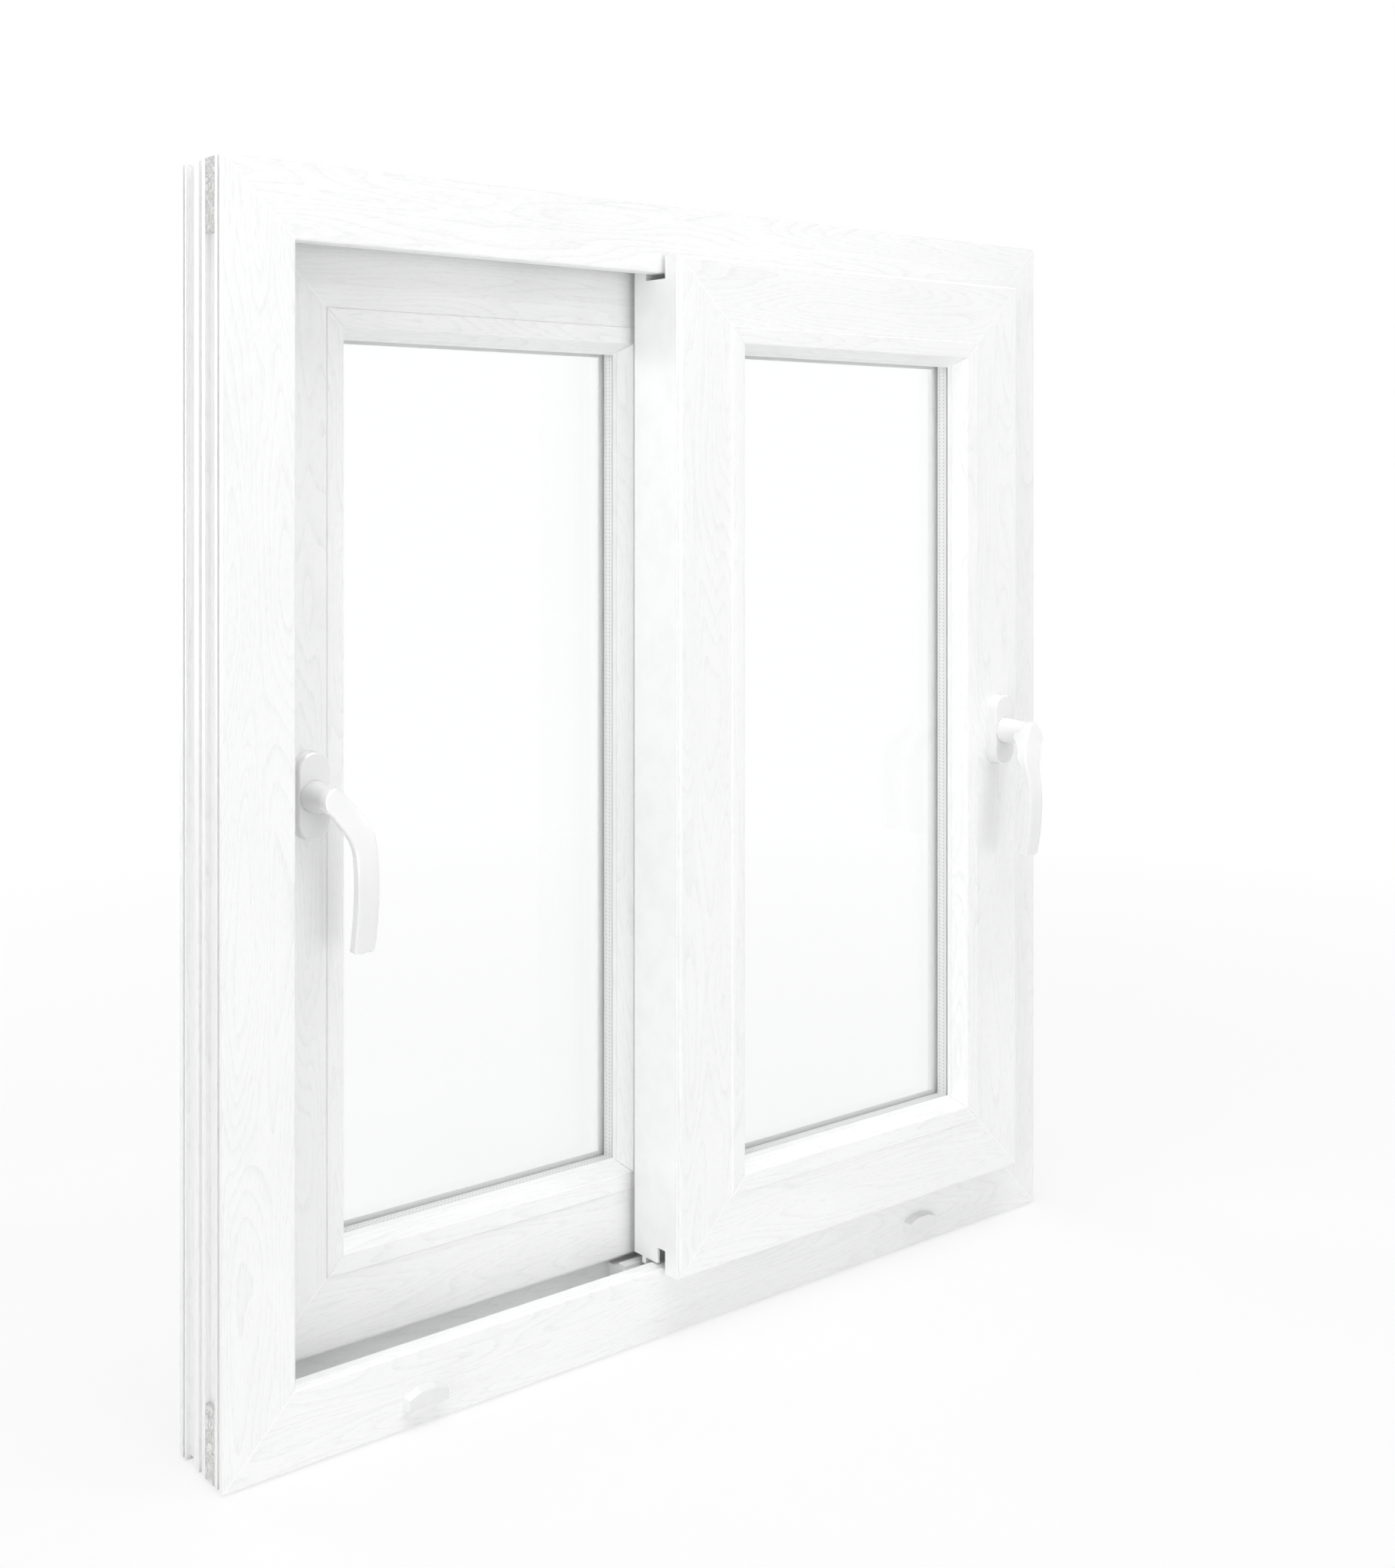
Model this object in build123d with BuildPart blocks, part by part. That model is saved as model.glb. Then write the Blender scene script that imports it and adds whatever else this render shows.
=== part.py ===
from build123d import *
import os

# A two-sash sliding window: a mitred outer frame with two lips, a front sash that rides
# on the front lip and a rear sash that rides on the rear lip, both double glazed, each
# with a turning handle on its closing stile.
# Millimetres. X runs along the window, Y is depth away from the room, Z is up.
# The origin lies on the underside of the sill, at mid-width, on its widest rib.

# Outer frame
frame_width = 912.0
frame_height = 1000.0
frame_depth = 76.0
frame_face = 60.0
lip_thickness = 17.5
track_floor = 32.0
lip_edge_radius = 1.5

# Grooves along the frame's outer edges, measured from its front face
clip_inset = 5.8
clip_width = 3.4
clip_depth = 4.0
anchor_start = 13.6
anchor_width = 16.9
anchor_depth = 5.0
centre_start = 36.0
centre_width = 5.5
centre_depth = 3.0
cover_start = 49.7
cover_width = 15.0
cover_depth = 3.5
plug_length = 57.0
plug_recess = 0.4

# Sashes, which overlap each other at the middle
meeting_overlap = 76.8
sash_depth = 51.0
sash_gap = 20.0
sash_jamb_overlap = 8.0
sash_sill_overlap = 3.5
sash_head_overlap = 15.0
sash_flat = 59.5
sash_edge_radius = 3.5
track_clearance = 5.0
sash_groove_depth = 20.0

# Glazing, depths measured from the sash's room side
bead_face_width = 15.2
bead_depth = 15.5
bead_rise = 7.0
bead_joint = 0.4
bead_mitre_gap = 0.1
bead_step = 1.2
bead_fall = 0.8
gasket_thickness = 2.5
gasket_height = 8.0
pane_thickness = 4.0
cavity = 12.0
rear_gasket_thickness = 3.0
upstand_rise = 9.6
upstand_fall = 6.5
spacer_rise = 7.3
glass_edge_clearance = 5.0

# Interlock profiles on the meeting stiles
interlock_plate = 2.5
interlock_reach = 11.4
interlock_leg = 1.8
interlock_flange = 24.6
interlock_radius = 2.0
leg_rail_gap = 1.3
leg_block_gap = 5.0
interlock_notch = 10.7
pile_width = 5.0
pile_clearance = 0.3

# Sill rails and rollers
rail_width = 9.0
rail_height = 1.2
rail_end_gap = 0.5
roller_radius = 6.5
roller_width = 5.0
roller_running_gap = 0.3
roller_inset = 120.0
axle_radius = 1.5
axle_clearance = 0.2
carriage_length = 70.0
carriage_width = 16.0
carriage_rail_gap = 3.0
carriage_side_gap = 1.0

# Blocks in the track at the meeting line, and travel stops in the head
sash_travel = 98.0
block_margin = 17.6
block_base_height = 19.0
head_block_base_height = 8.0
block_ridge_width = 10.0
block_ridge_height = 4.0
head_block_ridge_height = 8.0
stop_length = 20.0
stop_width = 11.0
stop_height = 21.0
stop_inset = 2.5
stop_gap = 5.0

# Handles
front_handle_backset = 31.5
rear_handle_backset = 43.2
rosette_width = 28.6
rosette_height = 70.5
rosette_base = 3.5
rosette_cap = 8.0
rosette_cap_inset = 0.4
rosette_rim = 1.2
turn_gap = 0.3
neck_base_radius = 13.0
neck_radius = 11.0
neck_length = 41.0

# Lever outlines about the handle's axis: across and up as the room sees them, then outwards
# and up as the side shows them
lever_bottom = -117.5
lever_top = 14.0
lever_outer = [(-1, 10.9), (6.4, 6), (17, -7.4), (24.8, -21.4), (26.8, -40)]
lever_outer_slopes = [(1, -0.2), (0, -1)]
lever_inner = [(8.1, -42), (6.3, -31), (2.6, -23.5), (-2.5, -15.5), (-8.3, -8)]
lever_inner_slopes = [(0, 1), (-1, 1)]
lever_tip = [(26.4, lever_bottom), (8.1, lever_bottom)]
lever_tip_radius = 3.0
lever_front = [(46.8, lever_top), (56.5, -14), (66, -42), (68.1, -66), (66, -92), (61.2, lever_bottom)]
lever_back = [(52.8, lever_bottom), (57.6, -92), (59.7, -66), (57.9, -42), (49.7, -20), (40, -7.7), (34, -3)]
lever_shoulder = (40, lever_top)
lever_bevel = 1.2
lever_reach = 80.0

# Weep covers on the sill
weep_spacing = 565.0
weep_width = 39.5
weep_height = 16.0
weep_base = 14.8
weep_depth = 7.8
weep_corner_width = 12.5
weep_corner_height = 4.8
weep_taper = 12.0

# Places worked out from the sizes above
origin_depth = (centre_start + centre_width + cover_start) / 2
front_y = -origin_depth
rear_y = front_y + frame_depth
left_x = -frame_width / 2
right_x = frame_width / 2
channel_width = frame_depth - 2 * lip_thickness
mid_y = front_y + frame_depth / 2

sash_base = frame_face - sash_sill_overlap
sash_top = frame_height - frame_face + sash_head_overlap
sash_height = sash_top - sash_base
sash_outer = frame_face - sash_jamb_overlap
sash_width = (frame_width - 2 * sash_outer + meeting_overlap) / 2
sash_standout = sash_depth + (sash_gap - frame_depth) / 2
sash_mid_z = sash_base + sash_height / 2

front_sash_x = right_x - sash_outer - sash_width / 2
rear_sash_x = left_x + sash_outer + sash_width / 2
front_sash_y = front_y - sash_standout
rear_sash_y = rear_y + sash_standout - sash_depth
groove_width = lip_thickness + 2 * track_clearance
front_groove = sash_standout - track_clearance
rear_groove = sash_depth - front_groove - groove_width

bead_edge = sash_flat + bead_face_width
bead_back = bead_edge + bead_rise
glass_front = bead_depth + gasket_thickness
glass_back = glass_front + 2 * pane_thickness + cavity
upstand_front = glass_back + rear_gasket_thickness
glass_edge = sash_flat + glass_edge_clearance

leg_bottom = frame_face + rail_height + leg_rail_gap
leg_top = frame_height - track_floor - head_block_base_height - head_block_ridge_height - leg_block_gap
block_length = meeting_overlap + 2 * block_margin


def side_planes(width, height, centre_x, base_z, y):
    # One plane for each side of a rectangle: local x runs back, local y runs inwards
    mid_z = base_z + height / 2
    return {
        "bottom": (Plane((centre_x, y, base_z), x_dir=(0, 1, 0), z_dir=(1, 0, 0)), width),
        "top": (Plane((centre_x, y, base_z + height), x_dir=(0, 1, 0), z_dir=(-1, 0, 0)), width),
        "left": (Plane((centre_x - width / 2, y, mid_z), x_dir=(0, 1, 0), z_dir=(0, 0, -1)), height),
        "right": (Plane((centre_x + width / 2, y, mid_z), x_dir=(0, 1, 0), z_dir=(0, 0, 1)), height),
    }


def mitred_bar(side, section, relief=0.0):
    # A profile extruded along one side, cut at 45 degrees through both outer corners
    plane, length = side
    with BuildPart() as bar:
        with BuildSketch(plane):
            add(section)
        extrude(amount=length / 2, both=True)
        for end in (1, -1):
            corner = plane.origin + plane.z_dir * (end * (length / 2 - relief))
            split(bisect_by=Plane(corner, z_dir=plane.z_dir * end + plane.y_dir), keep=Keep.BOTTOM)
    return bar.part


def write(part, name):
    part.label = name
    export_step(part, f"parts/{name}.step")


os.makedirs("parts", exist_ok=True)

# Frame profile: a base with the two lips of the tracks and grooved outer edges
with BuildSketch() as frame_section:
    Rectangle(frame_depth, frame_face, align=(Align.MIN, Align.MIN))
    with Locations((lip_thickness, track_floor)):
        Rectangle(channel_width, frame_face - track_floor, align=(Align.MIN, Align.MIN), mode=Mode.SUBTRACT)
    fillet(frame_section.vertices().group_by(Axis.Y)[-1], lip_edge_radius)
    with Locations((clip_inset, 0), (frame_depth - clip_inset - clip_width, 0)):
        Rectangle(clip_width, clip_depth, align=(Align.MIN, Align.MIN), mode=Mode.SUBTRACT)
    with Locations((anchor_start, 0)):
        Rectangle(anchor_width, anchor_depth, align=(Align.MIN, Align.MIN), mode=Mode.SUBTRACT)
    with Locations((centre_start, 0)):
        Rectangle(centre_width, centre_depth, align=(Align.MIN, Align.MIN), mode=Mode.SUBTRACT)
    with Locations((cover_start, 0)):
        Rectangle(cover_width, cover_depth, align=(Align.MIN, Align.MIN), mode=Mode.SUBTRACT)

frame_sides = side_planes(frame_width, frame_height, 0, 0, front_y)
frame_names = {"bottom": "sill", "top": "head", "left": "jamb_left", "right": "jamb_right"}
for side, name in frame_names.items():
    write(mitred_bar(frame_sides[side], frame_section.sketch), f"frame_{name}")

# Plugs that close the anchor channel at both ends of each jamb
plug_depth = anchor_depth - plug_recess
plug_x = frame_width / 2 - plug_recess - plug_depth / 2
plug_y = front_y + anchor_start + anchor_width / 2
with BuildPart() as plugs:
    for plug_base in (0, frame_height - plug_length):
        with BuildSketch(Plane.XY.offset(plug_base)):
            with Locations((-plug_x, plug_y), (plug_x, plug_y)):
                Rectangle(plug_depth, anchor_width)
        extrude(amount=plug_length)
write(plugs.part, "corner_plugs")

# Rails that the rollers run on, one on top of each sill lip
rail_length = frame_width - 2 * (frame_face + rail_end_gap)
for name, rail_y in (("front", front_y + lip_thickness / 2), ("rear", rear_y - lip_thickness / 2)):
    with BuildPart() as rail:
        with BuildSketch(Plane.XY.offset(frame_face)):
            with Locations((0, rail_y)):
                Rectangle(rail_length, rail_width)
        extrude(amount=rail_height)
        fillet(rail.faces().sort_by(Axis.Z)[-1].edges().filter_by(Axis.X), rail_height / 2)
    write(rail.part, f"sill_rail_{name}")


def sash_section(groove_start):
    # Sash profile: a body with the track groove, and the upstand behind the glass
    with BuildSketch() as section:
        Rectangle(sash_depth, sash_flat, align=(Align.MIN, Align.MIN))
        fillet(section.vertices().group_by(Axis.Y)[0], sash_edge_radius)
        chamfer(section.vertices().sort_by(Axis.Y)[-2:].sort_by(Axis.X)[0], bead_joint)
        with BuildLine():
            Polyline(
                (upstand_front, sash_groove_depth),
                (sash_depth, sash_groove_depth),
                (sash_depth, bead_edge + upstand_rise - upstand_fall),
                (upstand_front, bead_edge + upstand_rise),
                close=True,
            )
        make_face()
        with Locations((groove_start, 0)):
            Rectangle(groove_width, sash_groove_depth, align=(Align.MIN, Align.MIN), mode=Mode.SUBTRACT)
    return section.sketch


# Glazing bead: seated on the rebate, with a face beside the sash's and a reveal to the glass
with BuildSketch() as bead_section:
    with BuildLine():
        Polyline(
            (bead_joint, sash_flat),
            (bead_depth, sash_flat),
            (bead_depth, bead_back),
            (bead_fall - bead_step, bead_edge),
            (-bead_step, sash_flat + bead_joint),
            close=True,
        )
    make_face()

with BuildSketch() as gasket_section:
    with BuildLine():
        Polyline(
            (bead_depth, bead_back - gasket_height),
            (glass_front, bead_back - gasket_height),
            (glass_front, bead_back + gasket_thickness),
            (bead_depth, bead_back),
            close=True,
        )
    make_face()

with BuildSketch() as rear_gasket_section:
    with BuildLine():
        Polyline(
            (glass_back, bead_edge + upstand_rise - gasket_height),
            (upstand_front, bead_edge + upstand_rise - gasket_height),
            (upstand_front, bead_edge + upstand_rise),
            (glass_back, bead_edge + upstand_rise + gasket_thickness / 2),
            close=True,
        )
    make_face()

with BuildSketch() as spacer_section:
    with Locations((glass_front + pane_thickness, glass_edge)):
        Rectangle(cavity, bead_edge + spacer_rise - glass_edge, align=(Align.MIN, Align.MIN))


def write_ring(sides, sections, name):
    # Mitred bars on all four sides, fused into closed rings
    with BuildPart() as ring:
        for section in sections:
            for side in sides.values():
                add(mitred_bar(side, section))
    write(ring.part, name)


def write_sash(name, centre_x, y, groove_start, closing_side):
    sides = side_planes(sash_width, sash_height, centre_x, sash_base, y)
    section = sash_section(groove_start)
    meeting_side = "left" if closing_side == "right" else "right"
    bar_names = {"bottom": "bottom_rail", "top": "top_rail", closing_side: "lock_stile", meeting_side: "meeting_stile"}
    for side, bar in bar_names.items():
        write(mitred_bar(sides[side], section), f"{name}_{bar}")

    with BuildPart() as beads:
        for side in sides.values():
            add(mitred_bar(side, bead_section.sketch, bead_mitre_gap))
    write(beads.part, f"{name}_beads")

    write_ring(sides, [gasket_section.sketch], f"{name}_inner_gasket")
    write_ring(sides, [rear_gasket_section.sketch], f"{name}_outer_gasket")
    write_ring(sides, [spacer_section.sketch], f"{name}_spacer")

    with BuildPart() as glass:
        for pane_start in (glass_front, glass_back - pane_thickness):
            with BuildSketch(Plane.XZ.offset(-(y + pane_start))):
                with Locations((centre_x, sash_mid_z)):
                    Rectangle(sash_width - 2 * glass_edge, sash_height - 2 * glass_edge)
            extrude(amount=-pane_thickness)
    write(glass.part, f"{name}_glass")


write_sash("front", front_sash_x, front_sash_y, front_groove, "right")
write_sash("rear", rear_sash_x, rear_sash_y, rear_groove, "left")


def write_interlock(name, stile_x, y, outward, back, groove_start):
    # Profile clipped over the meeting stile's edge, with a leg and flange towards the other
    # sash. outward is -1 or 1 along X, back is 1 when the leg points to the rear.
    face_x = stile_x + outward * interlock_plate
    near_y = y if back == 1 else y + sash_depth
    far_y = y + sash_depth if back == 1 else y
    tip_y = far_y + back * interlock_reach
    with BuildPart() as interlock:
        with BuildSketch(Plane.XY.offset(sash_base)):
            with BuildLine():
                Polyline(
                    (stile_x, near_y + back * interlock_radius),
                    (face_x, near_y + back * interlock_radius),
                    (face_x, far_y),
                    (stile_x, far_y),
                    close=True,
                )
            make_face()
        extrude(amount=sash_height)
        with BuildSketch(Plane.XY.offset(leg_bottom)):
            with BuildLine():
                Polyline(
                    (face_x, far_y),
                    (face_x, tip_y),
                    (face_x - outward * interlock_flange, tip_y),
                    (face_x - outward * interlock_flange, tip_y - back * interlock_leg),
                    (face_x - outward * interlock_leg, tip_y - back * interlock_leg),
                    (face_x - outward * interlock_leg, far_y),
                    close=True,
                )
            make_face()
        extrude(amount=leg_top - leg_bottom)
        notch_y = y + groove_start
        with BuildSketch(Plane.XY.offset(sash_top - sash_groove_depth)):
            with Locations((face_x, notch_y + groove_width / 2)):
                Rectangle(4 * interlock_plate, groove_width)
        extrude(amount=sash_groove_depth, mode=Mode.SUBTRACT)
        open_y = notch_y + interlock_notch / 2 if back == 1 else notch_y + groove_width - interlock_notch / 2
        with BuildSketch(Plane.XY.offset(sash_base)):
            with Locations((face_x, open_y)):
                Rectangle(4 * interlock_plate, interlock_notch)
        extrude(amount=sash_groove_depth, mode=Mode.SUBTRACT)
        with BuildSketch(Plane.XY.offset(sash_base)):
            with Locations((face_x, notch_y + groove_width / 2)):
                Rectangle(4 * interlock_plate, groove_width)
        extrude(amount=leg_bottom - sash_base, mode=Mode.SUBTRACT)
    write(interlock.part, f"{name}_interlock")

    pile_x = face_x - outward * (interlock_flange - pile_width / 2)
    other_face = rear_sash_y - bead_step if back == 1 else front_sash_y + sash_depth
    pile_end = other_face - back * pile_clearance
    with BuildPart() as pile:
        with BuildSketch(Plane.XY.offset(leg_bottom)):
            with Locations((pile_x, (tip_y + pile_end) / 2)):
                Rectangle(pile_width, abs(pile_end - tip_y))
        extrude(amount=leg_top - leg_bottom)
    write(pile.part, f"{name}_pile_seal")


write_interlock("front", front_sash_x - sash_width / 2, front_sash_y, -1, 1, front_groove)
write_interlock("rear", rear_sash_x + sash_width / 2, rear_sash_y, 1, -1, rear_groove)


def write_rollers(name, centre_x, track_y):
    # Two roller carriages in the groove under the bottom rail, one near each corner
    axle_z = frame_face + rail_height + roller_running_gap + roller_radius
    carriage_base = frame_face + rail_height + carriage_rail_gap
    carriage_top = sash_base + sash_groove_depth
    places = [centre_x + side * (sash_width / 2 - roller_inset) for side in (-1, 1)]
    with BuildPart() as carriages:
        with BuildSketch(Plane.XY.offset(carriage_base)):
            with Locations(*[(x, track_y) for x in places]):
                Rectangle(carriage_length, carriage_width)
        extrude(amount=carriage_top - carriage_base)
        with BuildSketch(Plane.XY.offset(carriage_base)):
            with Locations(*[(x, track_y) for x in places]):
                Rectangle(
                    2 * (roller_radius + carriage_side_gap),
                    roller_width + 2 * carriage_side_gap,
                )
        extrude(amount=axle_z + roller_radius + carriage_side_gap - carriage_base, mode=Mode.SUBTRACT)
        with BuildSketch(Plane.XZ.offset(-track_y)):
            with Locations(*[(x, axle_z) for x in places]):
                Circle(axle_radius)
        extrude(amount=carriage_width / 2, both=True)
    write(carriages.part, f"{name}_roller_carriages")
    with BuildPart() as rollers:
        with BuildSketch(Plane.XZ.offset(-track_y)):
            with Locations(*[(x, axle_z) for x in places]):
                Circle(roller_radius)
                Circle(axle_radius + axle_clearance, mode=Mode.SUBTRACT)
        extrude(amount=roller_width / 2, both=True)
    write(rollers.part, f"{name}_rollers")


write_rollers("front", front_sash_x, front_y + lip_thickness / 2)
write_rollers("rear", rear_sash_x, rear_y - lip_thickness / 2)


def write_track_block(name, seat_z, up, base_height, ridge_height):
    # Draught block across the channel under or over the meeting stiles
    with BuildPart() as block:
        with BuildSketch(Plane((0, mid_y, seat_z), x_dir=(1, 0, 0), z_dir=(0, 0, up))):
            Rectangle(block_length, channel_width)
        extrude(amount=base_height)
        with BuildSketch(Plane((0, mid_y, seat_z + up * base_height), x_dir=(1, 0, 0), z_dir=(0, 0, up))):
            Rectangle(block_length, block_ridge_width)
        extrude(amount=ridge_height)
    write(block.part, name)


write_track_block("sill_block", track_floor, 1, block_base_height, block_ridge_height)
write_track_block("head_block", frame_height - track_floor, -1, head_block_base_height, head_block_ridge_height)

# Travel stops in the head channel, one in the path of each sash
front_stop_x = front_sash_x - sash_width / 2 - interlock_plate - sash_travel - stop_gap - stop_length / 2
rear_stop_x = rear_sash_x + sash_width / 2 + interlock_plate + sash_travel + stop_gap + stop_length / 2
front_stop_y = front_y + lip_thickness + stop_inset + stop_width / 2
rear_stop_y = rear_y - lip_thickness - stop_inset - stop_width / 2
with BuildPart() as stops:
    with BuildSketch(Plane.XY.offset(frame_height - track_floor)):
        with Locations((front_stop_x, front_stop_y), (rear_stop_x, rear_stop_y)):
            Rectangle(stop_length, stop_width)
    extrude(amount=-stop_height)
write(stops.part, "travel_stops")


# The lever about its turning axis, cranked towards +X: the shape that its front and side
# outlines have in common, on a round neck that runs out from the rosette
cap_front = rosette_base + rosette_cap
side_plane = Plane((0, 0, 0), x_dir=(0, -1, 0), z_dir=(-1, 0, 0))
with BuildPart() as lever:
    with BuildSketch(Plane.XZ) as outline:
        with BuildLine():
            outer = Spline(*lever_outer, tangents=lever_outer_slopes)
            inner = Spline(*lever_inner, tangents=lever_inner_slopes)
            Polyline(outer @ 1, *lever_tip, inner @ 0)
            ThreePointArc(inner @ 1, (-neck_radius, 0), outer @ 0)
        make_face()
        fillet(outline.vertices().group_by(Axis.Y)[0], lever_tip_radius)
    extrude(amount=lever_reach)
    with BuildSketch(side_plane):
        with BuildLine():
            front_line = Spline(*lever_front)
            back_line = Spline(*lever_back)
            Line(front_line @ 1, back_line @ 0)
            Polyline(back_line @ 1, lever_shoulder, front_line @ 0)
        make_face()
    extrude(amount=lever_reach, both=True, mode=Mode.INTERSECT)
    chamfer(lever.faces().sort_by(Axis.Y)[0].edges(), lever_bevel)
    with BuildSketch(Plane.XZ.offset(cap_front + turn_gap)):
        Circle(neck_base_radius)
    with BuildSketch(Plane.XZ.offset(neck_length)):
        Circle(neck_radius)
    loft()


def write_handle(name, axis_x, face_y, toward_glass):
    # Rosette fixed to the stile, and the lever that turns on it. toward_glass is 1 or -1.
    cap_y = face_y - rosette_base
    with BuildPart() as rosette:
        with BuildSketch(Plane.XZ.offset(-face_y)):
            with Locations((axis_x, sash_mid_z)):
                SlotOverall(rosette_height, rosette_width, rotation=90)
        extrude(amount=rosette_base)
        with BuildSketch(Plane.XZ.offset(-cap_y)):
            with Locations((axis_x, sash_mid_z)):
                SlotOverall(
                    rosette_height - 2 * rosette_cap_inset,
                    rosette_width - 2 * rosette_cap_inset,
                    rotation=90,
                )
        extrude(amount=rosette_cap)
        chamfer(rosette.faces().sort_by(Axis.Y)[0].edges(), rosette_rim)
    write(rosette.part, f"{name}_handle_rosette")

    handed = lever.part if toward_glass == 1 else lever.part.mirror(Plane.YZ)
    with BuildPart() as placed:
        with Locations((axis_x, face_y, sash_mid_z)):
            add(handed)
    write(placed.part, f"{name}_handle_lever")


write_handle("front", front_sash_x + sash_width / 2 - front_handle_backset, front_sash_y, -1)
write_handle("rear", rear_sash_x - sash_width / 2 + rear_handle_backset, rear_sash_y, 1)

# Hooded covers over the sill's drain slots
for name, side in (("left", -1), ("right", 1)):
    with BuildPart() as weep:
        plane = Plane((side * weep_spacing / 2, front_y, weep_base), x_dir=(1, 0, 0), z_dir=(0, -1, 0))
        with BuildSketch(plane) as outline:
            with BuildLine():
                Polyline(
                    (-weep_width / 2, 0),
                    (weep_width / 2, 0),
                    (weep_width / 2, weep_height - weep_corner_height),
                    (weep_width / 2 - weep_corner_width, weep_height),
                    (weep_corner_width - weep_width / 2, weep_height),
                    (-weep_width / 2, weep_height - weep_corner_height),
                    close=True,
                )
            make_face()
        extrude(amount=weep_depth, taper=weep_taper)
    write(weep.part, f"weep_cover_{name}")
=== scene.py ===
import math

import bmesh
import bpy
from mathutils import Matrix, Vector


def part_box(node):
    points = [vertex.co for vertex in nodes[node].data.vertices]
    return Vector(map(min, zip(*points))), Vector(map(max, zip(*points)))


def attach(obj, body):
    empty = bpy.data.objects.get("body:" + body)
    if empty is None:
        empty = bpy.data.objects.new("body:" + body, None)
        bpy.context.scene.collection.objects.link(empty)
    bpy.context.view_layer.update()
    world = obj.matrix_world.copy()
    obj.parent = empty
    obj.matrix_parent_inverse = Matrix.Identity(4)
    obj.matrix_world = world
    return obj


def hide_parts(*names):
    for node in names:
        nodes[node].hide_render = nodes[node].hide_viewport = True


print("loading the window's frame, sashes and handles")
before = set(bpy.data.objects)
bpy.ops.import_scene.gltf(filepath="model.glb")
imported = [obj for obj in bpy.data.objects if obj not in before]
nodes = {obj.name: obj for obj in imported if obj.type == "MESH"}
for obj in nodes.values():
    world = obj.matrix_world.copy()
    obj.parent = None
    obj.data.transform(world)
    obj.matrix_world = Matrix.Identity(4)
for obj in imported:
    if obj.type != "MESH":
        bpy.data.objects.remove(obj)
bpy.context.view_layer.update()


# A socket in a node tree. Its operators write the maths nodes, and make writes any other node.
class Signal:
    def __init__(self, tree, socket):
        self.tree = tree
        self.socket = socket

    def make(self, kind, inputs=None, output=0, **settings):
        node = self.tree.nodes.new(kind)
        for name, value in settings.items():
            setattr(node, name, value)
        for key, value in (inputs or {}).items():
            if isinstance(value, Signal):
                self.tree.links.new(value.socket, node.inputs[key])
            else:
                node.inputs[key].default_value = value
        return Signal(self.tree, node.outputs[output])

    def other(self, name):
        return Signal(self.tree, self.socket.node.outputs[name])

    def maths(self, operation, first, second=0.0):
        return self.make("ShaderNodeMath", {0: first, 1: second}, operation=operation)

    def __add__(self, other):
        return self.maths("ADD", self, other)

    def __radd__(self, other):
        return self.maths("ADD", other, self)

    def __sub__(self, other):
        return self.maths("SUBTRACT", self, other)

    def __rsub__(self, other):
        return self.maths("SUBTRACT", other, self)

    def __mul__(self, other):
        return self.maths("MULTIPLY", self, other)

    def __rmul__(self, other):
        return self.maths("MULTIPLY", other, self)

    def __truediv__(self, other):
        return self.maths("DIVIDE", self, other)

    def __rtruediv__(self, other):
        return self.maths("DIVIDE", other, self)

    def __pow__(self, other):
        return self.maths("POWER", self, other)

    def __abs__(self):
        return self.maths("ABSOLUTE", self)

    def larger(self, other):
        return self.maths("MAXIMUM", self, other)

    def over(self, limit):
        return self.maths("GREATER_THAN", self, limit)

    def under(self, limit):
        return self.maths("LESS_THAN", self, limit)

    def fraction(self):
        return self.maths("FRACT", self)

    # Rises from 0 to 1 round an edge, over the width that softness gives
    def above(self, edge, softness):
        return self.make("ShaderNodeClamp", {"Value": (self - edge) / softness + 0.5})

    def within(self, reach, softness):
        return 1.0 - abs(self).above(reach, softness)

    def blend(self, low, high):
        ends = [end if isinstance(end, Signal) else end + (1.0,) for end in (low, high)]
        return self.make("ShaderNodeMix", {0: self, 6: ends[0], 7: ends[1]}, output=2, data_type="RGBA")

    def noise(self, stretch, detail=2.0, roughness=0.5):
        stretched = self.make("ShaderNodeMapping", {"Vector": self, "Scale": stretch})
        inputs = {"Vector": stretched, "Scale": 1.0, "Detail": detail, "Roughness": roughness}
        return self.make("ShaderNodeTexNoise", inputs)

    def split(self):
        first = self.make("ShaderNodeSeparateXYZ", {0: self})
        return first, first.other(1), first.other(2)


def newMaterial(name):
    material = bpy.data.materials.new(name)
    material.use_nodes = True
    tree = material.node_tree
    tree.nodes.clear()
    output = tree.nodes.new("ShaderNodeOutputMaterial")
    coordinates = tree.nodes.new("ShaderNodeTexCoord")
    return material, Signal(tree, coordinates.outputs["Object"]), output


def finish(signal, output, **inputs):
    surface = signal.make("ShaderNodeBsdfPrincipled", inputs)
    signal.tree.links.new(surface.socket, output.inputs["Surface"])


# Heights are written in millimetres
def bump(height):
    return height.make("ShaderNodeBump", {"Height": height, "Strength": 1.0, "Distance": 0.001})


# The outline of a mitred ring of bars, from the boxes of a bar across and a bar upright
def ringOf(across, upright):
    acrossLow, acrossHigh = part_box(across)
    uprightLow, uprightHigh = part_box(upright)
    return {
        "centreX": (acrossLow[0] + acrossHigh[0]) / 2,
        "centreZ": (uprightLow[2] + uprightHigh[2]) / 2,
        "halfWidth": (acrossHigh[0] - acrossLow[0]) / 2,
        "halfHeight": (uprightHigh[2] - uprightLow[2]) / 2,
        "middleY": (acrossLow[1] + acrossHigh[1]) / 2,
    }


barShift = {"farSide": 5.3, "upright": 11.7}  # metres along the pattern, so that a ring's bars differ


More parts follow.
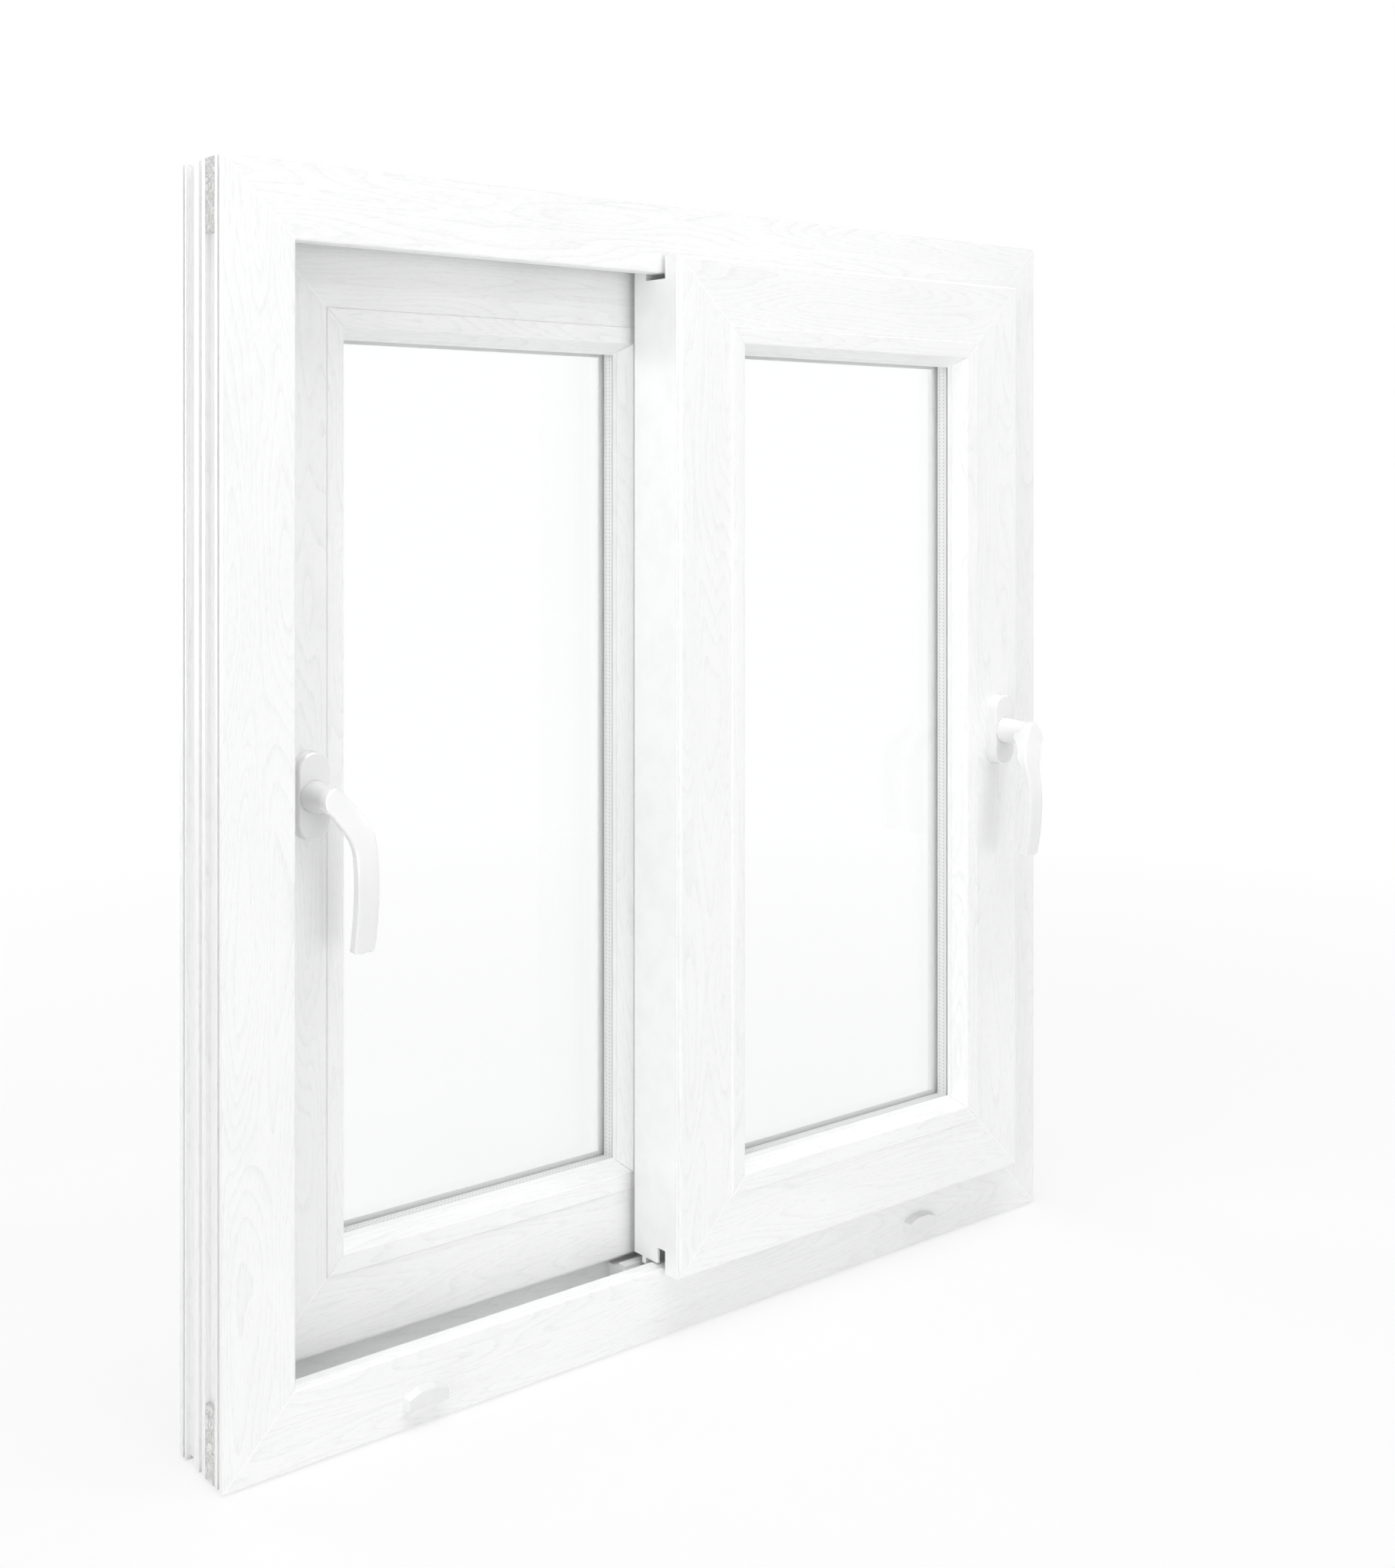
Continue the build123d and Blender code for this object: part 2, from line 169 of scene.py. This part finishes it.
# Turns a place on a mitred ring into one along and across its bar, with the distance to the mitre
def alongRing(place, ring):
    x, y, z = place.split()
    sideways = x - ring["centreX"]
    upwards = z - ring["centreZ"]
    mitre = (abs(sideways) - ring["halfWidth"]) - (abs(upwards) - ring["halfHeight"])
    upright = mitre.over(0.0)
    right = sideways.over(0.0)
    top = upwards.over(0.0)
    along = x + (z - x) * upright
    across = z + (x - z) * upright
    farSide = top + (right - top) * upright
    shifted = along + farSide * barShift["farSide"] + upright * barShift["upright"]
    bar = place.make("ShaderNodeCombineXYZ", {0: shifted, 1: across, 2: y})
    return {"bar": bar, "mitre": mitre, "along": along, "depth": y}


print("mixing the foil with its pressed wood grain")
# Each edge is a level and its softness, and heights are in millimetres
foilLook = {
    "light": (0.965, 0.966, 0.968),
    "shade": (0.84, 0.842, 0.846),
    "seam": (0.985, 0.985, 0.986),
    "ringNoise": {"stretch": (3.3, 26.0, 26.0), "detail": 1.0, "roughness": 0.45},
    "ringCount": 22.0,
    "ringSharpness": 3.5,
    "streakNoise": {"stretch": (60.0, 900.0, 900.0), "detail": 3.0, "roughness": 0.6},
    "streakEdge": (0.44, 0.3),
    "poreNoise": {"stretch": (110.0, 1300.0, 1300.0), "detail": 2.0, "roughness": 0.6},
    "poreEdge": (0.6, 0.12),
    "patchNoise": {"stretch": (9.0, 24.0, 24.0), "detail": 2.0, "roughness": 0.5},
    "patchEdge": (0.5, 0.5),
    "ringTone": 0.55,
    "poreTone": 0.4,
    "patchTone": 0.25,
    "toneEdge": (0.5, 1.0),
    "ringHeight": -0.035,
    "poreHeight": -0.03,
    "streakHeight": 0.02,
    "seamHeight": -0.12,
    "seamEdge": (0.0009, 0.0006),
    "roughness": 0.4,
    "roughnessChange": 0.12,
    "specular": 0.35,
}


def woodFoil(name, look, ring):
    material, place, output = newMaterial(name)
    ringPlace = alongRing(place, ring)
    bar = ringPlace["bar"]
    growth = (bar.noise(**look["ringNoise"]) * look["ringCount"]).fraction() ** look["ringSharpness"]
    streaks = bar.noise(**look["streakNoise"])
    rings = growth * streaks.above(*look["streakEdge"])
    pores = bar.noise(**look["poreNoise"]).above(*look["poreEdge"])
    patches = bar.noise(**look["patchNoise"]).above(*look["patchEdge"])
    seam = ringPlace["mitre"].within(*look["seamEdge"])
    unwelded = 1.0 - seam
    tone = rings * look["ringTone"] + pores * look["poreTone"] + patches * look["patchTone"]
    grained = (tone * unwelded).above(*look["toneEdge"]).blend(look["light"], look["shade"])
    relief = rings * look["ringHeight"] + pores * look["poreHeight"] + streaks * look["streakHeight"]
    finish(place, output, **{
        "Base Color": seam.blend(grained, look["seam"]),
        "Roughness": look["roughness"] + streaks * look["roughnessChange"],
        "Specular IOR Level": look["specular"],
        "Normal": bump(relief * unwelded + seam * look["seamHeight"]),
    })
    return material


foils = {
    "frame": woodFoil("grained_foil_frame", foilLook, ringOf("frame_sill", "frame_jamb_left")),
    "front": woodFoil("grained_foil_front_sash", foilLook, ringOf("front_bottom_rail", "front_lock_stile")),
    "rear": woodFoil("grained_foil_rear_sash", foilLook, ringOf("rear_bottom_rail", "rear_lock_stile")),
}

print("mixing the moulded, painted and rubber finishes")
looks = {
    "plastic": {"light": (0.84, 0.842, 0.845), "shade": (0.8, 0.805, 0.81), "peel": 260.0,
                "roughness": 0.36, "depth": 0.02},
    "alloy": {"light": (0.94, 0.942, 0.945), "shade": (0.89, 0.892, 0.895), "peel": 500.0,
              "roughness": 0.34, "depth": 0.01},
    "enamel": {"light": (0.87, 0.871, 0.873), "shade": (0.85, 0.851, 0.854), "peel": 140.0,
               "roughness": 0.14, "depth": 0.012, "coat": 1.0},
    "gasket": {"light": (0.9, 0.902, 0.905), "shade": (0.84, 0.842, 0.845), "peel": 700.0,
               "roughness": 0.55, "depth": 0.03},
    "nylon": {"light": (0.78, 0.78, 0.77), "shade": (0.7, 0.7, 0.69), "peel": 400.0,
              "roughness": 0.45, "depth": 0.02},
    "buffer": {"light": (0.13, 0.13, 0.13), "shade": (0.08, 0.08, 0.08), "peel": 500.0,
               "roughness": 0.7, "depth": 0.04},
    "pile": {"light": (0.66, 0.66, 0.67), "shade": (0.5, 0.5, 0.51), "peel": 1200.0,
             "roughness": 0.9, "depth": 0.05},
}
mouldedLook = {
    "soilNoise": {"stretch": (42.0, 42.0, 42.0), "detail": 4.0, "roughness": 0.6},
    "soilEdge": (0.6, 0.4),
    "roughnessChange": 0.1,
    "coatRoughness": 0.06,
}


def moulded(name, look, shared):
    material, place, output = newMaterial(name)
    peel = place.noise((look["peel"],) * 3)
    soil = place.noise(**shared["soilNoise"]).above(*shared["soilEdge"])
    finish(place, output, **{
        "Base Color": soil.blend(look["light"], look["shade"]),
        "Roughness": look["roughness"] + (peel - 0.5) * shared["roughnessChange"],
        "Coat Weight": look.get("coat", 0.0),
        "Coat Roughness": shared["coatRoughness"],
        "Normal": bump(peel * look["depth"]),
    })
    return material


finishes = {name: moulded("window_" + name, look, mouldedLook) for name, look in looks.items()}

# The foam pushed into the ends of the jambs' outer channels is crumpled and pitted. Its pits and the
# creases between its lumps are painted darker, as painted shade.
plugLook = {
    "light": (0.88, 0.88, 0.87),
    "shade": (0.6, 0.6, 0.59),
    "lumpNoise": {"stretch": (170.0, 170.0, 170.0), "detail": 4.0, "roughness": 0.65},
    "pitNoise": {"stretch": (620.0, 620.0, 620.0), "detail": 2.0, "roughness": 0.5},
    "pitEdge": (0.6, 0.1),
    "creaseSlope": 9.0,
    "creaseEdge": (0.35, 0.5),
    "pitPaintedShade": 0.5,
    "creasePaintedShade": 0.5,
    "lumpHeight": 2.2,
    "creaseHeight": 0.5,
    "pitHeight": 0.25,
    "roughness": 0.7,
    "roughnessChange": 0.2,
}


def plugFoam(name, look):
    material, place, output = newMaterial(name)
    lumps = place.noise(**look["lumpNoise"])
    pits = place.noise(**look["pitNoise"]).above(*look["pitEdge"])
    creases = (abs(lumps - 0.5) * look["creaseSlope"]).above(*look["creaseEdge"])
    # Painted shade: the pits, and the narrow creases where the lumps cross their middle, are coloured
    # towards the dark shade colour
    tone = pits * look["pitPaintedShade"] + (1.0 - creases) * look["creasePaintedShade"]
    relief = lumps * look["lumpHeight"] + creases * look["creaseHeight"] - pits * look["pitHeight"]
    finish(place, output, **{
        "Base Color": tone.blend(look["light"], look["shade"]),
        "Roughness": look["roughness"] + lumps * look["roughnessChange"],
        "Normal": bump(relief),
    })
    return material


finishes["foam"] = plugFoam("crumpled_foam", plugLook)

# The spacer between the panes has two rows of breathing holes along each bar
spacerLook = {
    "light": (0.93, 0.932, 0.935),
    "hole": (0.55, 0.55, 0.56),
    "pitch": 0.0035,
    "row": 0.0026,
    "holeLength": (0.17, 0.08),
    "holeWidth": (0.0005, 0.0003),
    "holeDepth": 0.3,
    "brushNoise": {"stretch": (30.0, 2600.0, 2600.0), "detail": 2.0, "roughness": 0.5},
    "brushHeight": 0.01,
    "roughness": 0.33,
    "roughnessChange": 0.15,
}


def spacerBar(name, look, ring):
    material, place, output = newMaterial(name)
    ringPlace = alongRing(place, ring)
    step = ((ringPlace["along"] / look["pitch"]).fraction() - 0.5).within(*look["holeLength"])
    rows = (abs(ringPlace["depth"] - ring["middleY"]) - look["row"]).within(*look["holeWidth"])
    hole = step * rows
    brushed = ringPlace["bar"].noise(**look["brushNoise"])
    finish(place, output, **{
        "Base Color": hole.blend(look["light"], look["hole"]),
        "Roughness": look["roughness"] + brushed * look["roughnessChange"],
        "Normal": bump(brushed * look["brushHeight"] - hole * look["holeDepth"]),
    })
    return material


finishes["front_spacer"] = spacerBar("spacer_front", spacerLook, ringOf("front_spacer", "front_spacer"))
finishes["rear_spacer"] = spacerBar("spacer_rear", spacerLook, ringOf("rear_spacer", "rear_spacer"))

# Clear glass: a reflection that grows towards the edge-on view, over what lies behind it.
# Where a gasket presses on a pane, the pane's face shows the gasket's rubber.
glassLook = {
    "tint": (0.998, 1.0, 0.999, 1.0),
    "rubber": (0.9, 0.902, 0.905, 1.0),
    "innerWidth": 0.0105,
    "outerWidth": 0.009,
    "touch": 0.0001,
    "wipeNoise": {"stretch": (9.0, 9.0, 3.0), "detail": 5.0, "roughness": 0.65},
    "wipeEdge": (0.55, 0.5),
    "roughness": 0.015,
    "roughnessChange": 0.03,
    "mirrorStraight": 0.04,
    "mirrorGain": 0.96,
    "mirrorPower": 5.0,
}


# The part of a pane's face that a gasket covers, from the gasket's inner edge outwards
def pressedBand(place, gasket, width, touch):
    gasketLow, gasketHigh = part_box(gasket)
    faceY = gasketHigh[1] if "inner" in gasket else gasketLow[1]
    x, y, z = place.split()
    beside = abs(x - (gasketLow[0] + gasketHigh[0]) / 2) - ((gasketHigh[0] - gasketLow[0]) / 2 - width)
    beyond = abs(z - (gasketLow[2] + gasketHigh[2]) / 2) - ((gasketHigh[2] - gasketLow[2]) / 2 - width)
    return beside.larger(beyond).over(0.0) * abs(y - faceY).under(touch)


def glazing(side, look):
    material, place, output = newMaterial("clear_glass_" + side)
    wiping = place.noise(**look["wipeNoise"]).above(*look["wipeEdge"])
    slant = place.make("ShaderNodeLayerWeight", {"Blend": 0.5}, output=1)
    mirrored = slant ** look["mirrorPower"] * look["mirrorGain"] + look["mirrorStraight"]
    clear = place.make("ShaderNodeBsdfTransparent", {"Color": look["tint"]})
    shine = place.make("ShaderNodeBsdfGlossy", {
        "Color": (1.0, 1.0, 1.0, 1.0),
        "Roughness": look["roughness"] + wiping * look["roughnessChange"],
    })
    pane = place.make("ShaderNodeMixShader", {0: mirrored, 1: clear, 2: shine})
    rubber = place.make("ShaderNodeBsdfDiffuse", {"Color": look["rubber"]})
    innerBand = pressedBand(place, side + "_inner_gasket", look["innerWidth"], look["touch"])
    outerBand = pressedBand(place, side + "_outer_gasket", look["outerWidth"], look["touch"])
    surface = place.make("ShaderNodeMixShader", {0: innerBand.larger(outerBand), 1: pane, 2: rubber})
    place.tree.links.new(surface.socket, output.inputs["Surface"])
    return material


finishes["front_glass"] = glazing("front", glassLook)
finishes["rear_glass"] = glazing("rear", glassLook)

print("dressing the pieces")
# The first entry that a node's name contains gives its finish, and the bars and beads take the foil
nodeFinish = {
    "sill_rail": "alloy",
    "weep_cover": "plastic",
    "corner_plugs": "foam",
    "sill_block": "plastic",
    "head_block": "plastic",
    "travel_stops": "buffer",
    "gasket": "gasket",
    "front_glass": "front_glass",
    "rear_glass": "rear_glass",
    "front_spacer": "front_spacer",
    "rear_spacer": "rear_spacer",
    "interlock": "alloy",
    "pile": "pile",
    "carriages": "nylon",
    "rollers": "nylon",
    "handle": "enamel",
}
edges = {
    "profile": {"width": 0.0006, "segments": 3},
    "handle": {"width": 0.001, "segments": 3},
    "fitting": {"width": 0.0003, "segments": 2},
}
edgeLook = {"weldReach": 0.00001, "gasketShift": 0.00003, "sharpest": 35.0}


def dress(name, piece, look):
    chosen = [finishes[kind] for part, kind in nodeFinish.items() if part in name]
    piece.data.materials.clear()
    piece.data.materials.append(chosen[0] if chosen else foils[name.split("_")[0]])
    if "glass" in name or "pile" in name:
        return
    edge = edges["handle"] if "handle" in name else edges["fitting"] if chosen else edges["profile"]
    weld = piece.modifiers.new("weld", "WELD")
    weld.merge_threshold = look["weldReach"]
    if "gasket" in name:
        # A hair's breadth off the pane, so that the two faces don't share a plane
        shift = piece.modifiers.new("clear", "DISPLACE")
        shift.mid_level = 0.0
        shift.strength = -look["gasketShift"]
    ease = piece.modifiers.new("ease", "BEVEL")
    ease.width = edge["width"]
    ease.segments = edge["segments"]
    ease.limit_method = "ANGLE"
    ease.angle_limit = math.radians(look["sharpest"])
    ease.use_clamp_overlap = True


for nodeName, node in nodes.items():
    dress(nodeName, node, edgeLook)

print("planting the pile seals")
pileLook = {
    "pitch": 0.0013,
    "rows": 4,
    "tuftRadius": 0.00055,
    "tuftSides": 5,
    "tipShare": 0.45,
    "backing": 0.0008,
    "sunkShare": 0.9,
    "scatter": (0.0003, 0.0002, 0.0),
    "lean": 0.16,
    "fullTurn": 6.0,
    "shortest": (0.9, 0.9, 0.86),
    "tallest": (1.1, 1.1, 0.98),
    "seed": 7,
}


def pileTree(look, material):
    tree = bpy.data.node_groups.new("pile_seal", "GeometryNodeTree")
    defaults = {"Length": 0.9, "Width": 0.005, "Rise": 0.007}
    tree.interface.new_socket("Geometry", in_out="OUTPUT", socket_type="NodeSocketGeometry")
    for name, value in defaults.items():
        socket = tree.interface.new_socket(name, in_out="INPUT", socket_type="NodeSocketFloat")
        socket.default_value = value
    seedSocket = tree.interface.new_socket("Seed", in_out="INPUT", socket_type="NodeSocketInt")
    seedSocket.default_value = look["seed"]
    entry = tree.nodes.new("NodeGroupInput")
    length = Signal(tree, entry.outputs["Length"])
    width, rise, seed = length.other("Width"), length.other("Rise"), length.other("Seed")
    margin = look["tuftRadius"] * 4
    field = length.make("GeometryNodeMeshGrid", {
        "Size X": length - margin,
        "Size Y": width - margin,
        "Vertices X": length / look["pitch"],
        "Vertices Y": look["rows"],
    })
    spread = length.make("FunctionNodeRandomValue", {
        0: tuple(-reach for reach in look["scatter"]),
        1: look["scatter"],
        "Seed": seed,
    }, data_type="FLOAT_VECTOR")
    scattered = length.make("GeometryNodeSetPosition", {"Geometry": field, "Offset": spread})
    tuft = length.make("GeometryNodeMeshCone", {
        "Vertices": look["tuftSides"],
        "Radius Top": look["tuftRadius"] * look["tipShare"],
        "Radius Bottom": look["tuftRadius"],
        "Depth": rise - look["backing"],
    }, fill_type="NGON")
    lean = length.make("FunctionNodeRandomValue", {
        0: (-look["lean"], -look["lean"] * 0.5, 0.0),
        1: (look["lean"], look["lean"] * 0.5, look["fullTurn"]),
        "Seed": seed,
    }, data_type="FLOAT_VECTOR")
    tall = length.make("FunctionNodeRandomValue", {
        0: look["shortest"],
        1: look["tallest"],
        "Seed": seed,
    }, data_type="FLOAT_VECTOR")
    tufts = length.make("GeometryNodeInstanceOnPoints", {
        "Points": scattered,
        "Instance": tuft,
        "Rotation": lean,
        "Scale": tall,
    })
    standing = length.make("GeometryNodeTransform", {
        "Geometry": tufts,
        "Translation": length.make("ShaderNodeCombineXYZ", {2: look["backing"] * look["sunkShare"]}),
    })
    strip = length.make("GeometryNodeMeshCube", {
        "Size": length.make("ShaderNodeCombineXYZ", {0: length, 1: width, 2: look["backing"]}),
    })
    seated = length.make("GeometryNodeTransform", {
        "Geometry": strip,
        "Translation": length.make("ShaderNodeCombineXYZ", {2: look["backing"] / 2}),
    })
    joined = length.make("GeometryNodeJoinGeometry")
    for part in (standing, seated):
        tree.links.new(part.socket, joined.socket.node.inputs[0])
    real = length.make("GeometryNodeRealizeInstances", {"Geometry": joined})
    dressed = length.make("GeometryNodeSetMaterial", {"Geometry": real, "Material": material})
    leaving = tree.nodes.new("NodeGroupOutput")
    tree.links.new(dressed.socket, leaving.inputs[0])
    return tree


def plantPile(side, towards, look, tree):
    sealLow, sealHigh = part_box(side + "_pile_seal")
    sealSizes = {
        "Length": sealHigh[2] - sealLow[2],
        "Width": sealHigh[0] - sealLow[0],
        "Rise": sealHigh[1] - sealLow[1],
        "Seed": look["seed"],
    }
    carrier = bpy.data.objects.new("pile_carrier", bpy.data.meshes.new("pile_carrier"))
    bpy.context.scene.collection.objects.link(carrier)
    planter = carrier.modifiers.new("planter", "NODES")
    planter.node_group = tree
    for socket in tree.interface.items_tree:
        if socket.in_out == "INPUT":
            planter[socket.identifier] = sealSizes[socket.name]
    graph = bpy.context.evaluated_depsgraph_get()
    mesh = bpy.data.meshes.new_from_object(carrier.evaluated_get(graph))
    bpy.data.objects.remove(carrier)
    baseY = sealLow[1] if towards == 1 else sealHigh[1]
    middle = Vector(((sealLow[0] + sealHigh[0]) / 2, baseY, (sealLow[2] + sealHigh[2]) / 2))
    # The strip's length stands upright, and its tufts point at the other sash
    turn = Matrix(((0.0, -towards, 0.0), (0.0, 0.0, towards), (-1.0, 0.0, 0.0))).to_4x4()
    mesh.transform(Matrix.Translation(middle) @ turn)
    seal = bpy.data.objects.new(side + "_pile_bristles", mesh)
    bpy.context.scene.collection.objects.link(seal)
    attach(seal, side + "_sash")
    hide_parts(side + "_pile_seal")


pileNodes = pileTree(pileLook, finishes["pile"])
plantPile("front", 1, pileLook, pileNodes)
plantPile("rear", -1, pileLook, pileNodes)

print("closing the joints round the beads")
# A soft lip on each bead closes the joint between the bead and the sash
lipLook = {"joint": 0.0004, "overlap": 0.00005, "recess": 0.0001, "depth": 0.002}


def beadLip(side, look, material):
    beadLow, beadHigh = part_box(side + "_beads")
    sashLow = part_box(side + "_lock_stile")[0]
    front = sashLow[1] + look["recess"]
    loops = []
    ring = bmesh.new()
    for y in (front, front + look["depth"]):
        for grow in (look["joint"] - look["overlap"], -look["overlap"]):
            left, right = beadLow[0] - grow, beadHigh[0] + grow
            bottom, top = beadLow[2] - grow, beadHigh[2] + grow
            corners = ((left, bottom), (right, bottom), (right, top), (left, top))
            loops.append([ring.verts.new((x, y, z)) for x, z in corners])
    outerFront, innerFront, outerBack, innerBack = loops
    around = (outerFront, innerFront, innerBack, outerBack)
    for number, near in enumerate(around):
        far = around[(number + 1) % 4]
        for corner in range(4):
            after = (corner + 1) % 4
            ring.faces.new((near[corner], near[after], far[after], far[corner]))
    bmesh.ops.recalc_face_normals(ring, faces=ring.faces)
    mesh = bpy.data.meshes.new(side + "_bead_lip")
    ring.to_mesh(mesh)
    ring.free()
    mesh.materials.append(material)
    lip = bpy.data.objects.new(side + "_bead_lip", mesh)
    bpy.context.scene.collection.objects.link(lip)
    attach(lip, side + "_sash")


beadLip("front", lipLook, finishes["alloy"])
beadLip("rear", lipLook, finishes["alloy"])

print("setting the floor and the light")
floorLook = {
    "reach": 40.0,
    "drop": 0.002,
    "shade": (0.87, 0.87, 0.87),
    "light": (0.91, 0.91, 0.91),
    "toneNoise": {"stretch": (2.0, 2.0, 2.0), "detail": 3.0},
    "shadow": 0.25,
    "fade": (1.6, 1.6),
}
plainWhite = (1.0, 1.0, 1.0, 1.0)


# The rays that see the plain white background: the camera's, and those off gloss and through glass
def backgroundRays(ray):
    return ray.larger(ray.other("Is Glossy Ray")).larger(ray.other("Is Transmission Ray"))


# The floor shows the window's shadow near it, and fades to the white backdrop farther off
def floorFinish(look):
    material, place, output = newMaterial("pale_floor")
    tone = place.noise(**look["toneNoise"]).blend(look["shade"], look["light"])
    matt = place.make("ShaderNodeBsdfDiffuse", {"Color": tone})
    white = place.make("ShaderNodeEmission", {"Color": plainWhite, "Strength": 1.0})
    x, y = place.split()[:2]
    away = (x * x + y * y) ** 0.5
    nearness = 1.0 - away.above(*look["fade"])
    shadowed = place.make("ShaderNodeMixShader", {0: nearness * look["shadow"], 1: white, 2: matt})
    seen = backgroundRays(place.make("ShaderNodeLightPath"))
    surface = place.make("ShaderNodeMixShader", {0: seen, 1: matt, 2: shadowed})
    place.tree.links.new(surface.socket, output.inputs["Surface"])
    return material


floorGrid = bmesh.new()
bmesh.ops.create_grid(floorGrid, x_segments=1, y_segments=1, size=floorLook["reach"])
floorMesh = bpy.data.meshes.new("floor")
floorGrid.to_mesh(floorMesh)
floorGrid.free()
floorMesh.transform(Matrix.Translation((0.0, 0.0, -floorLook["drop"])))
floorMesh.materials.append(floorFinish(floorLook))
floor = bpy.data.objects.new("floor", floorMesh)
bpy.context.scene.collection.objects.link(floor)

worldLook = {"lit": 0.28, "backdrop": 1.0}
world = bpy.data.worlds.new("studio")
bpy.context.scene.world = world
world.use_nodes = True
worldTree = world.node_tree
worldTree.nodes.clear()
worldOutput = worldTree.nodes.new("ShaderNodeOutputWorld")
worldRay = Signal(worldTree, worldTree.nodes.new("ShaderNodeLightPath").outputs["Is Camera Ray"])
lit = worldRay.make("ShaderNodeBackground", {"Color": plainWhite, "Strength": worldLook["lit"]})
backdrop = worldRay.make("ShaderNodeBackground", {"Color": plainWhite, "Strength": worldLook["backdrop"]})
sky = worldRay.make("ShaderNodeMixShader", {0: backgroundRays(worldRay), 1: lit, 2: backdrop})
worldTree.links.new(sky.socket, worldOutput.inputs["Surface"])

lamps = [
    {"name": "lamp_front", "at": (-0.4, -5.2, 0.5), "aim": (0.0, 0.0, 0.5), "size": 2.4, "power": 74.0},
    {"name": "lamp_side", "at": (-5.4, -1.2, 0.8), "aim": (0.0, 0.0, 0.5), "size": 2.2, "power": 80.0},
    {"name": "lamp_behind", "at": (-1.5, 4.5, 1.2), "aim": (0.0, 0.0, 0.5), "size": 2.4, "power": 90.0},
    {"name": "lamp_above", "at": (0.0, -1.0, 6.0), "aim": (0.0, 0.0, 0.5), "size": 4.0, "power": 200.0},
    {"name": "lamp_right", "at": (2.2, -2.6, 2.4), "aim": (0.0, 0.0, 0.7), "size": 0.22, "power": 8.0},
    {"name": "lamp_left", "at": (-2.0, -1.4, 3.0), "aim": (0.0, 0.0, 0.7), "size": 0.3, "power": 5.5},
    {"name": "lamp_head", "at": (-0.2, -1.4, 1.9), "aim": (0.0, 0.0, 0.9), "size": 0.8, "power": 3.0},
]
for lamp in lamps:
    light = bpy.data.lights.new(lamp["name"], "AREA")
    light.shape = "SQUARE"
    light.size = lamp["size"]
    light.energy = lamp["power"]
    stand = bpy.data.objects.new(lamp["name"], light)
    stand.location = lamp["at"]
    stand.rotation_euler = (Vector(lamp["aim"]) - Vector(lamp["at"])).to_track_quat("-Z", "Y").to_euler()
    bpy.context.scene.collection.objects.link(stand)

print("placing the camera")
view = {
    "height": 2044.0,
    "focalPixels": 2446.0,
    "horizonRow": 635.0,
    "filmSize": 36.0,
    "at": (-1.065, -1.3516, 0.7508),
    "turn": -39.2,
}
lens = bpy.data.cameras.new("camera")
lens.sensor_width = view["filmSize"]
lens.lens = view["focalPixels"] / view["height"] * view["filmSize"]
lens.shift_y = (view["horizonRow"] - view["height"] / 2) / view["height"]
camera = bpy.data.objects.new("camera", lens)
camera.location = view["at"]
camera.rotation_euler = (math.radians(90.0), 0.0, math.radians(view["turn"]))
bpy.context.scene.collection.objects.link(camera)
bpy.context.scene.camera = camera
bpy.context.scene.view_settings.view_transform = "Standard"
